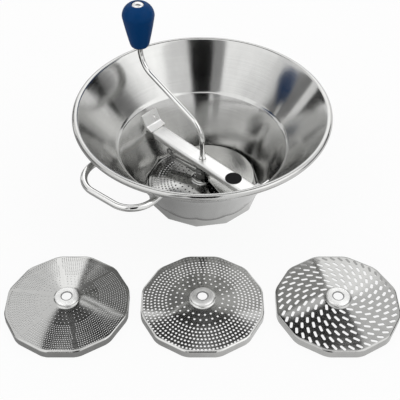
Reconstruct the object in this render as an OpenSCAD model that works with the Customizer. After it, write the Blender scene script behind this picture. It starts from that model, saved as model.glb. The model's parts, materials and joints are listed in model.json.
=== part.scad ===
/* [Bowl] */
// Outside diameter of the bowl over the rolled rim
bowl_d = 310; // [290:1:330]
// Height of the top of the rim above the base
bowl_h = 130; // [122:1:138]
// Thickness of the bowl's sheet steel
bowl_t = 1; // [0.8:0.1:1.4]
// Diameter of the rolled rim bead
bead_d = 8; // [6:0.5:10]
// Height of the line where the steep lower cone meets the flaring upper cone
knee_z = 74; // [70:1:82]
// Outside radius of the bowl at that line
knee_r = 104; // [98:1:108]
// Width of the small step at that line
knee_step = 1.6; // [1:0.2:2.4]
// Number of flats round the base and round each disc
flats = 12; // [12:12:12]
// Height at which the cone grows out through the middle of each flat
skirt_z = 9; // [7:0.5:11]
// Inward width of the seat lip, measured from the inside of a flat
lip_w = 5.6; // [4:0.2:7]

/* [Discs] */
// Diameter of a disc over its corners
disc_d = 141; // [137:0.5:145]
// Sheet thickness of a disc
disc_t = 0.8; // [0.6:0.1:1.2]
// Height of the turned-down edge of a disc
disc_edge_h = 9; // [7:0.5:10]
// Slope of the domed face, in degrees
disc_slope = 7.3; // [5:0.1:9]
// Radius of the plain centre boss
boss_r = 13.5; // [12:0.5:15]
// Height of the boss above the dome round it
boss_h = 3; // [2:0.25:4]
// Radius of the centring hole in the boss
boss_hole_r = 5.5; // [5:0.1:6]
// Gap all round a disc in the bowl
disc_gap = 0.6; // [0.3:0.1:1]
// Hole diameter, fine disc
fine_hole_d = 1.6; // [1:0.1:1.8]
// Hole pitch, fine disc
fine_pitch = 3.7; // [3.6:0.1:4.5]
// Hole diameter, medium disc
medium_hole_d = 2.3; // [1.8:0.1:2.4]
// Hole pitch, medium disc
medium_pitch = 4.3; // [4.3:0.1:5]
// Slot width, coarse disc
coarse_slot_w = 2.9; // [2.4:0.1:3.2]
// Slot length over its round ends, coarse disc
coarse_slot_l = 7.2; // [6:0.1:7.4]
// Slot pitch, coarse disc
coarse_pitch = 9.4; // [9.2:0.1:11]

/* [Bridge] */
// Width of the bridge bar
bar_w = 21; // [18:0.5:24]
// Height of the top of the bar above the base
bar_z = 50; // [48:0.5:54]
// Height of the bar's side flanges
bar_h = 7.5; // [6:0.5:9]
// Sheet thickness of the bar
bar_t = 1.8; // [1.5:0.1:2.2]
// Bend radius of the bar's long edges
bar_bend_r = 2.6; // [2.3:0.1:3]
// Direction of the bar in plan, in degrees
bar_az = 135; // [120:1:150]
// Gap between a bar end and the bowl wall
bar_end_gap = 2.6; // [2:0.1:4]
// Diameter of the round label
label_d = 20.6; // [16:0.1:21]
// Thickness of the round label
label_t = 0.4; // [0.3:0.1:0.8]
// Distance of the label from the crank axis
label_x = 53.5; // [40:0.5:58]

/* [Lugs] */
// Width of a lug
lug_w = 25; // [22:0.5:28]
// Sheet thickness of a lug
lug_t = 2; // [1.6:0.1:2.4]
// Height of a lug's welded plate
lug_h = 14; // [12:0.5:16]
// How far the tongue reaches over the bar end
tongue_l = 5; // [4:0.5:7]
// Gap between tongue or stop ear and the bar
lug_gap = 0.4; // [0.3:0.1:0.8]
// Diameter of the weld dimple
weld_d = 3; // [2:0.5:4]

/* [Crank] */
// Diameter of the crank rod
rod_d = 7; // [6:0.5:8]
// Throw of the crank
throw_r = 122; // [104:1:124]
// Direction of the crank in plan, in degrees
crank_az = 130; // [90:1:170]
// Bend radius of the crank, at the rod's centre
crank_bend_r = 28; // [20:1:30]
// Height at which the lower bend starts
crank_low_z = 74; // [68:1:80]
// Height at which the upper bend ends
crank_top_z = 150; // [144:1:156]
// Diameter of the collar above the bar
collar_d = 9; // [8.5:0.25:12]
// Height of the collar
collar_h = 2.4; // [1.6:0.2:3.6]
// Free gap between the collar and the bush below it
collar_gap = 0.6; // [0.4:0.1:1.2]
// Running clearance of the rod in its bush, on the radius
run_gap = 0.05; // [0.02:0.01:0.1]

/* [Knob] */
// Height of the knob
knob_h = 60; // [52:1:66]
// Widest radius of the knob
knob_r = 20.2; // [18:0.1:21]
// Radius at the foot of the knob
knob_foot_r = 11.5; // [10:0.1:13]
// Height of the widest place above the foot
knob_wide_z = 44; // [38:1:47]
// Diameter of the domed cap
cap_d = 15; // [13:0.5:17]
// Height of the domed cap
cap_h = 3; // [2:0.5:4]

/* [Spring and blade] */
// Wire diameter of the pressure spring
spring_wire = 1.8; // [1.4:0.1:2.2]
// Mean diameter of the pressure spring
spring_d = 14.6; // [13.6:0.2:15]
// Number of turns
spring_turns = 5; // [4:0.5:6]
// Thickness of each spring washer
washer_t = 1; // [0.8:0.1:1.4]
// Diameter of each spring washer
washer_d = 17; // [16.6:0.2:18]
// Outside diameter of the blade hub
hub_d = 17; // [16:0.5:19]
// Height of the blade hub
hub_h = 10; // [9:0.5:11]
// Outer radius of the pressing blade
blade_r = 65; // [59:0.5:65]
// Sheet thickness of the blade
blade_t = 1.5; // [1.2:0.1:2]
// Gap under the blade's trailing edge
blade_gap = 0.4; // [0.3:0.1:0.8]
// Rise of the blade's outer edge from trailing to leading end
blade_rise = 14; // [10:0.5:16]
// Extra rise of the leading lip
lip_rise = 4; // [2:0.5:5]
// Angle covered by the blade, in degrees
blade_sweep = 192; // [150:1:200]
// Direction of the blade's trailing edge, in degrees
blade_az = 130; // [110:1:140]
// Diameter of the clearing wire
wire_d = 2.2; // [1.8:0.1:2.6]
// Length of the clearing wire from the axis to its eye
wire_l = 56; // [50:1:58]

/* [Handle] */
// Diameter of the loop handle's rod
handle_d = 7.8; // [7:0.2:9]
// Direction of the handle in plan, in degrees
handle_az = 232; // [200:1:250]
// Width of the loop between rod centres
handle_w = 92; // [80:1:110]
// Distance from the bowl's axis to the outermost rod centre
handle_reach = 175; // [170:1:190]
// Corner radius of the loop
handle_bend_r = 30; // [22:1:34]
// Height of the loop's rod centre above the base
handle_z = 113; // [107:1:115]

/* [Loose discs] */
// Spacing of the three loose discs
tray_pitch = 150; // [146:1:162]
// Distance of their row in front of the bowl's axis
tray_y = 196; // [194:1:240]

/* [Hidden] */
$fn = 128;
half = 180 / flats;
far = 400;

// bowl
base_turn = 24;
skirt_r = disc_d / 2 + disc_gap + bowl_t / cos(half);
skirt_flat = skirt_r * cos(half);
skirt_top = skirt_z + 12;
cone_slope = (knee_r - skirt_flat) / (knee_z - skirt_z);
cone_tilt = atan(cone_slope);
cone_foot_z = skirt_z - 5;
rim_r = bowl_d / 2 - bead_d / 2;
rim_z = bowl_h - bead_d / 2;
flare_r = knee_r + knee_step;
flare_z = knee_z + knee_step / 2;
flare_tilt = atan2(rim_z - flare_z, rim_r - flare_r);
function cone_r(z) = skirt_flat + (z - skirt_z) * cone_slope;
function cone_in_r(z) = cone_r(z) - bowl_t / cos(cone_tilt);

// discs
disc_r = disc_d / 2;
disc_flat = disc_r * cos(half);
disc_z = bowl_t;
boss_blend = 1.5;
function disc_top(r) = disc_edge_h + (disc_flat - r * cos(half)) * tan(disc_slope);
boss_top = disc_top(boss_r) + boss_h;
loose_turn = 15;

// bridge
bar_web_z = bar_z - bar_t;
bar_end_r = cone_in_r(bar_web_z) - bar_end_gap;
flange_end_r = cone_in_r(bar_z - bar_h) - bar_end_gap;
rod_r = rod_d / 2;
bore_r = rod_r + run_gap;
bush_r = bore_r + 1.5;
bush_flange_r = bush_r + 2;
bush_flange_t = 1.6;
bush_lip = 0.5;
bush_top = bar_z + bush_lip;
bush_foot = bar_web_z - bush_flange_t;

// lugs
tongue_z = bar_z + lug_gap;
plate_foot = tongue_z + lug_t + 2;
plate_top = plate_foot + lug_h;
tongue_r = bar_end_r - tongue_l;
lug_lean = lug_t / cos(cone_tilt);

// crank stack, from the disc up
hub_z = disc_z + boss_top + blade_gap;
hub_top = hub_z + hub_h;
low_washer_z = hub_top;
spring_foot = low_washer_z + washer_t;
high_washer_top = bush_foot - 0.1;
high_washer_z = high_washer_top - washer_t;
spring_h = high_washer_z - spring_foot;
collar_z = bush_top + collar_gap;
pin_r = 1.5;
pin_z = hub_z + hub_h * 0.42;
pin_l = hub_d - 0.5;
pilot_z = disc_z + disc_edge_h;

// crank bends
bend_span = throw_r - 2 * crank_bend_r;
bend_rise = crank_top_z - crank_low_z;
bend_dist = sqrt(bend_span * bend_span + bend_rise * bend_rise);
arm_tilt = atan2(bend_rise, bend_span) - asin(2 * crank_bend_r / bend_dist);
arm_l = sqrt(bend_dist * bend_dist - 4 * crank_bend_r * crank_bend_r);
arm_turn = 90 - arm_tilt;
arm_x = crank_bend_r * (1 - sin(arm_tilt));
arm_z = crank_low_z + crank_bend_r * cos(arm_tilt);

// knob
ring_t = 1.4;
ring_gap = 0.3;
ring_z = crank_top_z + 4;
knob_z = ring_z + ring_t + ring_gap;
knob_gap = 0.08;
knob_top = knob_z + knob_h;
knob_top_r = cap_d / 2 + 2;
cap_seat = 1.2;
cap_z = knob_top - cap_seat;

// blade
blade_in_r = hub_d / 2;
blade_steps = 32;
boss_clear = 1;
blade_reach = blade_r - boss_r - 3;
blade_rings = concat(
  [blade_in_r, boss_r + boss_clear - 0.4, boss_r + 3],
  [for (k = [1 : 5]) boss_r + 3 + blade_reach * k / 5]
);
lip_from = 0.87;
hub_share = 0.45;

// clearing wire
wire_gap = 5;
wire_az = 142;
wire_z = hub_z + hub_h * 0.62;
wire_start = hub_d / 2 - 2.2;
eye_r = 3.4;
loop_x = wire_l - 14;

// Twelve-sided prism, turned so that its corners match the base.
module prism(r, z0, z1, turn = base_turn) {
  rotate([0, 0, turn]) translate([0, 0, z0]) cylinder(h = z1 - z0, r = r, $fn = flats);
}

// Solid that the lower bowl fills, moved inward by a distance from its outside.
module lower_form(inset, z0, z1) {
  prism(skirt_r - inset / cos(half), z0, skirt_top);
  translate([0, 0, cone_foot_z])
    cylinder(
      h = z1 - cone_foot_z,
      r1 = cone_r(cone_foot_z) - inset / cos(cone_tilt),
      r2 = cone_r(z1) - inset / cos(cone_tilt));
}

// ---- bowl: lower twelve-sided cone, flaring upper cone and rolled rim ----
module flare_section() {
  cut = bowl_t / cos(cone_tilt);
  off_r = bowl_t / 2 * sin(flare_tilt);
  off_z = bowl_t / 2 * cos(flare_tilt);
  reach = bead_d / 2 - bowl_t / 2;
  tip_r = rim_r - reach * cos(flare_tilt);
  tip_z = rim_z - reach * sin(flare_tilt);
  polygon([
    [knee_r - cut, knee_z - bowl_t],
    [knee_r, knee_z - bowl_t],
    [flare_r + off_r, flare_z - off_z],
    [tip_r + off_r, tip_z - off_z],
    [tip_r - off_r, tip_z + off_z],
    [flare_r - off_r, flare_z + off_z],
    [knee_r - cut, knee_z]
  ]);
}

module bead_section() {
  open_w = bowl_t;
  translate([rim_r, rim_z]) difference() {
    circle(d = bead_d);
    circle(d = bead_d - 2 * bowl_t);
    rotate(flare_tilt - 180) translate([0, open_w])
      square([bead_d, open_w]);
  }
}

module bowl() {
  color("gainsboro") {
    difference() {
      lower_form(0, 0, knee_z - bowl_t / 2);
      difference() {
        lower_form(bowl_t, bowl_t, knee_z);
        translate([0, 0, -1]) cylinder(h = 1 + bowl_t, r = far);
      }
      translate([0, 0, -1]) cylinder(h = bowl_t + 2, r = skirt_flat - bowl_t - lip_w);
    }
    rotate_extrude() {
      flare_section();
      bead_section();
    }
  }
}

// ---- loop handle: one bent rod, ends cut to lie on the bowl wall ----
module rod_bend(r, bend_r, turn) {
  rotate_extrude(angle = turn) translate([bend_r, 0]) circle(r = r);
}

module handle_half() {
  side = handle_w / 2;
  leg_x = flare_r;
  leg_l = handle_reach - handle_bend_r - leg_x;
  translate([leg_x, side, 0]) rotate([0, 90, 0]) cylinder(h = leg_l, d = handle_d);
  translate([handle_reach - handle_bend_r, side - handle_bend_r, 0])
    rod_bend(handle_d / 2, handle_bend_r, 90);
  translate([handle_reach, 0, 0]) rotate([-90, 0, 0])
    cylinder(h = side - handle_bend_r, d = handle_d);
}

// Solid inside the outer face of the flaring cone, which the handle's ends are cut to.
module flare_envelope() {
  low_z = handle_z - 2 * handle_d;
  skin = bowl_t / 2 / sin(flare_tilt);
  low_r = flare_r + (low_z - flare_z) / tan(flare_tilt);
  translate([0, 0, low_z])
    cylinder(h = rim_z - low_z, r1 = low_r + skin, r2 = rim_r + skin);
}

module loop_handle() {
  color("silver") difference() {
    rotate([0, 0, handle_az]) translate([0, 0, handle_z]) {
      handle_half();
      mirror([0, 1, 0]) handle_half();
    }
    flare_envelope();
  }
}

// ---- lugs: strap welded to the wall, with a tongue over the bar end and a stop ear ----
module lug_section() {
  foot_r = cone_in_r(plate_foot) - lug_lean;
  head_r = cone_in_r(plate_top) - lug_lean;
  nose = lug_t;
  polygon([
    [cone_r(tongue_z), tongue_z],
    [tongue_r, tongue_z],
    [tongue_r, tongue_z + nose],
    [foot_r - 1.5, plate_foot],
    [foot_r, plate_foot + 1],
    [head_r, plate_top],
    [cone_r(plate_top), plate_top]
  ]);
}

module lug(side) {
  ear_h = bar_h - 1;
  color("silver") intersection() {
    rotate([0, 0, bar_az + side]) difference() {
      union() {
        rotate([90, 0, 0]) translate([0, 0, -lug_w / 2])
          linear_extrude(lug_w) lug_section();
        translate([tongue_r, -bar_w / 2 - lug_gap - lug_t, tongue_z - ear_h])
          cube([20, lug_t, ear_h + lug_t]);
      }
      translate([cone_in_r(plate_top) - lug_lean - 4, -lug_w / 5, plate_top - lug_h * 0.45])
        rotate([0, 90 - cone_tilt, 0]) translate([0, 0, -2]) cylinder(h = 4.6, d = weld_d);
    }
    lower_form(bowl_t, bowl_t, knee_z + 10);
  }
}

module rear_lug() {
  lug(0);
}

module front_lug() {
  lug(180);
}

// ---- discs: twelve-sided domed sheet, turned-down edge, centre boss, perforations ----
module disc_dome(drop) {
  top = disc_top(boss_r);
  translate([0, 0, disc_edge_h - drop])
    cylinder(h = top - disc_edge_h, r1 = disc_r, r2 = boss_r, $fn = flats);
}

module disc_blank() {
  inner_r = disc_r - disc_t / cos(half);
  difference() {
    union() {
      cylinder(h = disc_edge_h, r = disc_r, $fn = flats);
      disc_dome(0);
    }
    translate([0, 0, -1])
      cylinder(h = disc_edge_h + 1 - disc_t, r = inner_r, $fn = flats);
    intersection() {
      disc_dome(disc_t);
      translate([0, 0, -1]) cylinder(h = far, r = inner_r, $fn = flats);
    }
    translate([0, 0, -1]) cylinder(h = far, r = boss_r - 1.5);
    children();
  }
}

module disc_boss() {
  foot = disc_top(boss_r);
  outer = boss_r;
  top = foot + boss_h;
  b = boss_blend;
  rotate_extrude() difference() {
    union() {
      translate([boss_hole_r, foot - disc_t]) square([outer - b - boss_hole_r, boss_h + disc_t]);
      translate([boss_hole_r, foot - disc_t])
        square([outer - boss_hole_r, boss_h - b + disc_t]);
      translate([outer - b, top - b]) circle(r = b);
    }
    translate([-1, foot - 2 * disc_t])
      square([outer - disc_t + 1, boss_h + disc_t]);
  }
}

// Rings of cutters, alternate rings half a pitch round.
module ring_pattern(r_in, r_out, pitch) {
  for (k = [0 : floor((r_out - r_in) / pitch)]) {
    r = r_out - k * pitch;
    n = floor(2 * PI * r / pitch);
    for (j = [0 : n - 1])
      rotate([0, 0, (j + 0.5 * (k % 2)) * 360 / n]) translate([r, 0, 0]) children();
  }
}

module round_cutter(d) {
  rotate([0, 0, seam_turn]) cylinder(h = far / 8, d = d);
}

module slot_cutter() {
  run = coarse_slot_l - coarse_slot_w;
  linear_extrude(far / 8) {
    square([run, coarse_slot_w], center = true);
    translate([run / 2, 0]) circle(d = coarse_slot_w);
    translate([-run / 2, 0]) circle(d = coarse_slot_w);
  }
}

pattern_out = disc_flat - disc_t - 3;
pattern_in = boss_r + 4.5;
slot_turn = 48;
seam_turn = 17;

module fine_perforations() {
  ring_pattern(pattern_in, pattern_out, fine_pitch) round_cutter(fine_hole_d);
}

module medium_perforations() {
  dense_in = disc_flat * 0.55;
  ring_pattern(dense_in, pattern_out, medium_pitch) round_cutter(medium_hole_d);
  ring_pattern(pattern_in, dense_in - medium_pitch, medium_pitch * 1.5)
    round_cutter(medium_hole_d);
}

module coarse_perforations() {
  ring_pattern(pattern_in + 2, pattern_out - 2.5, coarse_pitch)
    rotate([0, 0, slot_turn]) slot_cutter();
}

module medium_sheet() {
  disc_blank() medium_perforations();
  disc_boss();
}

module installed_disc() {
  color("silver") translate([0, 0, disc_z]) rotate([0, 0, base_turn]) medium_sheet();
}

module fine_disc() {
  color("silver") translate([-tray_pitch, -tray_y, 0]) rotate([0, 0, loose_turn]) {
    disc_blank() fine_perforations();
    disc_boss();
  }
}

module medium_disc() {
  color("silver") translate([0, -tray_y, 0]) rotate([0, 0, loose_turn]) medium_sheet();
}

module coarse_disc() {
  color("silver") translate([tray_pitch, -tray_y, 0]) rotate([0, 0, loose_turn]) {
    disc_blank() coarse_perforations();
    disc_boss();
  }
}

// ---- bridge bar, its bush and the round label ----
module channel_section() {
  w = bar_w / 2;
  b = bar_bend_r;
  c = b - bar_t;
  difference() {
    union() {
      translate([-w, -bar_h]) square([bar_w, bar_h - b]);
      translate([-w + b, -bar_h]) square([bar_w - 2 * b, bar_h]);
      for (s = [-1, 1]) translate([s * (w - b), -b]) circle(r = b);
    }
    translate([-w + bar_t, -bar_h - 1]) square([bar_w - 2 * bar_t, bar_h + 1 - b]);
    translate([-w + b, -bar_h - 1]) square([bar_w - 2 * b, bar_h + 1 - bar_t]);
    for (s = [-1, 1]) translate([s * (w - b), -b]) circle(r = c);
  }
}

module bridge_bar() {
  color("gainsboro") rotate([0, 0, bar_az]) difference() {
    intersection() {
      translate([-far / 2, 0, bar_z]) rotate([90, 0, 90])
        linear_extrude(far) channel_section();
      translate([0, 0, bar_z - bar_h - 1]) cylinder(h = bar_h + 2, r = bar_end_r);
    }
    translate([0, 0, bar_web_z - 1]) cylinder(h = bar_t + 2, r = bush_r);
    for (s = [0, 180]) rotate([0, 0, s])
      translate([0, 0, bar_web_z]) rotate([90, 0, 0]) translate([0, 0, -bar_w])
        linear_extrude(2 * bar_w) polygon([
          [far, 0],
          [tongue_r - 2, 0],
          [flange_end_r - 8, -bar_h],
          [flange_end_r - 8, -far / 4],
          [far, -far / 4]
        ]);
  }
}

module bridge_bush() {
  color("silver") rotate_extrude() polygon([
    [bore_r, bush_foot],
    [bush_flange_r, bush_foot],
    [bush_flange_r, bar_web_z],
    [bush_r, bar_web_z],
    [bush_r, bush_top],
    [bore_r, bush_top]
  ]);
}

module round_label() {
  color("black") rotate([0, 0, bar_az + 180]) translate([label_x, 0, bar_z])
    cylinder(h = label_t, d = label_d);
}

// ---- spring washers and pressure spring ----
module washer(z) {
  edge = washer_t / 4;
  r = washer_d / 2;
  rotate_extrude() translate([0, z]) polygon([
    [bore_r, 0], [r - edge, 0], [r, edge],
    [r, washer_t - edge], [r - edge, washer_t], [bore_r, washer_t]
  ]);
}

module upper_spring_washer() {
  color("silver") washer(high_washer_z);
}

module lower_spring_washer() {
  color("silver") washer(low_washer_z);
}

spring_sides = 8;
spring_rings = 16;
spring_closed = 0.75;

// Height of the wire's centre along the coil: one flat turn at each end.
function coil_z(t) =
  let (s = min(max(t - spring_closed, 0), spring_turns - 2 * spring_closed))
  spring_wire / 2 + s / (spring_turns - 2 * spring_closed) * (spring_h - spring_wire);

module pressure_spring() {
  steps = round(spring_turns * spring_rings);
  r = spring_wire / 2;
  points = [
    for (i = [0 : steps]) for (j = [0 : spring_sides - 1])
      let (
        t = i * spring_turns / steps,
        a = 360 * t,
        b = 360 * (j + 0.5) / spring_sides,
        q = spring_d / 2 + r * cos(b)
      )
      [q * cos(a), q * sin(a), spring_foot + coil_z(t) + r * cos(180 / spring_sides) * sin(b)]
  ];
  sides = [
    for (i = [0 : steps - 1]) for (j = [0 : spring_sides - 1])
      let (k = (j + 1) % spring_sides, a = i * spring_sides, b = a + spring_sides)
      [a + j, a + k, b + k, b + j]
  ];
  foot = [for (j = [spring_sides - 1 : -1 : 0]) j];
  head = [for (j = [0 : spring_sides - 1]) steps * spring_sides + j];
  color("dimgray") polyhedron(points, concat(sides, [foot, head]));
}

// ---- blade hub, pin, pressing blade and clearing wire ----
module blade_hub() {
  edge = 1;
  r = hub_d / 2;
  color("dimgray") difference() {
    rotate_extrude() polygon([
      [bore_r, hub_z], [r - edge, hub_z], [r, hub_z + edge],
      [r, hub_top - edge], [r - edge, hub_top], [bore_r, hub_top]
    ]);
    pin_hole(hub_d + 2);
    rotate([0, 0, wire_az]) translate([0, 0, wire_z]) for (s = [-1, 1])
      translate([wire_start - run_gap, s * wire_gap / 2, 0]) rotate([0, 90, 0])
        cylinder(h = hub_d, d = wire_d + 2 * run_gap);
  }
}

module pin_hole(l) {
  rotate([0, 0, crank_az + 60]) translate([0, 0, pin_z]) rotate([0, 90, 0])
    cylinder(h = l, r = pin_r + run_gap, center = true);
}

module hub_pin() {
  color("silver") rotate([0, 0, crank_az + 60]) translate([0, 0, pin_z])
    rotate([0, 90, 0]) cylinder(h = pin_l, r = pin_r, center = true);
}

// Underside of the blade at its trailing edge: it follows the disc and clears the boss.
function blade_foot(r) = disc_z + blade_gap
  + (r > boss_r + boss_clear ? disc_top(r) : boss_top);
// Share of the full rise at a radius and at a step of the sweep.
function blade_lift(r, u) =
  let (reach = (r - blade_in_r) / (blade_r - blade_in_r))
  blade_rise * min(u / lip_from, 1) * (hub_share + (1 - hub_share) * reach)
  + (u > lip_from ? (u - lip_from) / (1 - lip_from) * lip_rise * reach : 0);

module pressing_blade() {
  n = len(blade_rings);
  span = 2 * n;
  points = [
    for (i = [0 : blade_steps]) for (side = [0, 1]) for (k = [0 : n - 1])
      let (
        u = i / blade_steps,
        a = blade_az - u * blade_sweep,
        r = blade_rings[k],
        z = blade_foot(r) + blade_lift(r, u) + side * blade_t
      )
      [r * cos(a), r * sin(a), z]
  ];
  faces = [
    for (i = [0 : blade_steps - 1])
      let (a = i * span, b = a + span)
      each concat(
        [for (k = [0 : n - 2]) each [[a + k, b + k + 1, a + k + 1], [a + k, b + k, b + k + 1]]],
        [for (k = [0 : n - 2]) let (c = a + n + k, d = b + n + k)
          each [[c, c + 1, d + 1], [c, d + 1, d]]],
        [[a, b + n, b], [a, a + n, b + n]],
        [[a + n - 1, b + span - 1, a + span - 1], [a + n - 1, b + n - 1, b + span - 1]]
      )
  ];
  trail = [for (k = [0 : n - 2])
    each [[k, n + k + 1, n + k], [k, k + 1, n + k + 1]]];
  lead = let (e = blade_steps * span) [for (k = [0 : n - 2])
    each [[e + k, e + n + k, e + n + k + 1], [e + k, e + n + k + 1, e + k + 1]]];
  color("gainsboro") polyhedron(points, concat(faces, trail, lead));
}

module straight_wire(from, length) {
  translate(from) rotate([0, 90, 0]) cylinder(h = length, d = wire_d);
}

module clearing_wire() {
  color("silver") rotate([0, 0, wire_az]) translate([0, 0, wire_z]) {
    straight_wire([wire_start, wire_gap / 2, 0], loop_x - wire_start);
    straight_wire([wire_start, -wire_gap / 2, 0], wire_l - wire_start);
    translate([loop_x, 0, 0]) rotate([0, 0, -90]) rod_bend(wire_d / 2, wire_gap / 2, 180);
    translate([wire_l, -wire_gap / 2, eye_r]) rotate([90, 0, 0]) rotate([0, 0, -90])
      rod_bend(wire_d / 2, eye_r, 300);
  }
}

// ---- crank: rod with two bends, collar, knob stop ring, cap and knob ----
bend_steps = 9;
rod_sides = 20;
rod_overlap = 3;
// Rings along the bends and the arm: distance out, height and direction of travel.
crank_path = concat(
  [[0, crank_low_z - rod_overlap, 90]],
  [for (i = [0 : bend_steps]) let (a = 90 - i * arm_turn / bend_steps)
    [crank_bend_r * (1 - sin(a)), crank_low_z + crank_bend_r * cos(a), a]],
  [for (i = [0 : bend_steps]) let (a = arm_tilt + i * arm_turn / bend_steps)
    [throw_r - crank_bend_r * (1 - sin(a)), crank_top_z - crank_bend_r * cos(a), a]],
  [[throw_r, crank_top_z + rod_overlap, 90]]
);

module bent_arm() {
  r = rod_r - 0.02;
  n = rod_sides;
  last = len(crank_path) - 1;
  points = [
    for (p = crank_path) for (j = [0 : n - 1])
      let (b = 360 * j / n)
      [p[0] - r * cos(b) * sin(p[2]), r * sin(b), p[1] + r * cos(b) * cos(p[2])]
  ];
  sides = [
    for (i = [0 : last - 1]) for (j = [0 : n - 1])
      let (k = (j + 1) % n, a = i * n, b = a + n)
      [a + j, a + k, b + k, b + j]
  ];
  foot = [for (j = [n - 1 : -1 : 0]) j];
  head = [for (j = [0 : n - 1]) last * n + j];
  polyhedron(points, concat(sides, [foot, head]));
}

module crank_rod() {
  color("silver") difference() {
    union() {
      translate([0, 0, pilot_z]) cylinder(h = crank_low_z - pilot_z, r = rod_r);
      rotate([0, 0, crank_az]) {
        bent_arm();
        translate([throw_r, 0, crank_top_z])
          cylinder(h = cap_z + ring_gap - crank_top_z, r = rod_r);
      }
    }
    pin_hole(rod_d + 2);
  }
}

module crank_collar() {
  edge = 0.4;
  r = collar_d / 2;
  color("silver") rotate_extrude() translate([0, collar_z]) polygon([
    [rod_r, 0], [r - edge, 0], [r, edge],
    [r, collar_h - edge], [r - edge, collar_h], [rod_r, collar_h]
  ]);
}

module at_knob() {
  rotate([0, 0, crank_az]) translate([throw_r, 0, 0]) children();
}

module knob_stop_ring() {
  color("silver") at_knob() rotate_extrude() translate([rod_r, ring_z])
    square([2.2, ring_t]);
}

module knob_cap() {
  dome_r = (cap_d * cap_d / 4 + cap_h * cap_h) / (2 * cap_h);
  color("silver") at_knob() translate([0, 0, cap_z + ring_gap]) intersection() {
    cylinder(h = cap_h, d = cap_d);
    translate([0, 0, cap_h - dome_r]) sphere(r = dome_r);
  }
}

module knob_section() {
  foot_b = 4;
  taper = (knob_r - knob_foot_r) / knob_wide_z;
  head_in = knob_r - knob_top_r;
  head_h = knob_h - knob_wide_z;
  shoulder_r = (head_in * head_in + head_h * head_h) / (2 * head_in);
  difference() {
    union() {
      polygon([
        [0, foot_b],
        [knob_foot_r + taper * foot_b, foot_b],
        [knob_r, knob_wide_z],
        [0, knob_wide_z]
      ]);
      square([knob_foot_r - foot_b, foot_b]);
      intersection() {
        square([knob_foot_r + 1, foot_b * 2]);
        translate([knob_foot_r + taper * foot_b - foot_b, foot_b]) circle(r = foot_b);
      }
      intersection() {
        translate([0, knob_wide_z]) square([knob_r, head_h]);
        translate([knob_r - shoulder_r, knob_wide_z]) circle(r = shoulder_r);
      }
    }
    translate([-1, knob_h]) square([far, far]);
    translate([-1, -1]) square([rod_r + knob_gap + 1, knob_h + 2]);
    translate([-1, knob_h - cap_seat]) square([cap_d / 2 + ring_gap + 1, cap_seat + 1]);
  }
}

module knob() {
  color("#003c78") at_knob() translate([0, 0, knob_z]) rotate_extrude() knob_section();
}

bowl();
loop_handle();
rear_lug();
front_lug();
installed_disc();
bridge_bar();
bridge_bush();
round_label();
upper_spring_washer();
pressure_spring();
lower_spring_washer();
blade_hub();
hub_pin();
pressing_blade();
clearing_wire();
crank_rod();
crank_collar();
knob_stop_ring();
knob_cap();
knob();
fine_disc();
medium_disc();
coarse_disc();
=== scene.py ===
import json
import math

import bmesh
import bpy
from mathutils import Matrix, Vector

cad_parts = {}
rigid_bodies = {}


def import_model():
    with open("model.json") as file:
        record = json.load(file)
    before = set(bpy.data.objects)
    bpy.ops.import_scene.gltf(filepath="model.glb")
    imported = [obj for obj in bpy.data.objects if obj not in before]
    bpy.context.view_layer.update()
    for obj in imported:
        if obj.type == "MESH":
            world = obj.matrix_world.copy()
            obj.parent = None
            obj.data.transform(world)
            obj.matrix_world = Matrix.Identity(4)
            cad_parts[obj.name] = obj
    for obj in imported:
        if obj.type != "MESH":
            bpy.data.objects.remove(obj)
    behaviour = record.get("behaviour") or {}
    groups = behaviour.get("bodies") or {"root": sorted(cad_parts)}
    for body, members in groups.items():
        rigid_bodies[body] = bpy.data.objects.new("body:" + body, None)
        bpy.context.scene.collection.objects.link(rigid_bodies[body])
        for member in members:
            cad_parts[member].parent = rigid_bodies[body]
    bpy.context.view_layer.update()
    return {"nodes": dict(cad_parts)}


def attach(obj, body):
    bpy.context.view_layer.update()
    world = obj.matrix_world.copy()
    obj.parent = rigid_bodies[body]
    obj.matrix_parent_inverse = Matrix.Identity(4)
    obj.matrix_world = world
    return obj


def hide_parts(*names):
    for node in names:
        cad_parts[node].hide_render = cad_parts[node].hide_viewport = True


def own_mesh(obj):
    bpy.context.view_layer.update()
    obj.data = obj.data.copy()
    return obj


for leftover in list(bpy.data.objects):
    bpy.data.objects.remove(leftover)
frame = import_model()
cadNodes = frame["nodes"]
mm = 0.001
twelfth, halfTwelfth = math.pi / 6, math.pi / 12  # one side of a twelve-sided outline, and half of it
print("frame loaded:", len(cadNodes), "nodes")


# node helpers
def addNode(tree, kind, **settings):
    node = tree.nodes.new(kind)
    for key, value in settings.items():
        setattr(node, key, value)
    return node


def plug(tree, source, target):
    # source and target are sockets; a plain number or tuple goes straight on the socket
    if isinstance(source, (int, float, tuple, list)):
        target.default_value = source
    else:
        tree.links.new(source, target)


def calc(tree, operation, first, second=0.0, third=0.0, clamp=False):
    node = addNode(tree, "ShaderNodeMath", operation=operation, use_clamp=clamp)
    for slotIndex, value in enumerate((first, second, third)):
        plug(tree, value, node.inputs[slotIndex])
    return node.outputs[0]


def times(tree, first, second):
    return calc(tree, "MULTIPLY", first, second)


def plus(tree, first, second):
    return calc(tree, "ADD", first, second)


def minus(tree, first, second):
    return calc(tree, "SUBTRACT", first, second)


def mapValue(tree, value, fromLow, fromHigh, toLow, toHigh):
    node = addNode(tree, "ShaderNodeMapRange")
    for slotIndex, item in enumerate((value, fromLow, fromHigh, toLow, toHigh)):
        plug(tree, item, node.inputs[slotIndex])
    return node.outputs[0]


def splitPoint(tree, vector):
    node = addNode(tree, "ShaderNodeSeparateXYZ")
    plug(tree, vector, node.inputs[0])
    return node.outputs[0], node.outputs[1], node.outputs[2]


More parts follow.
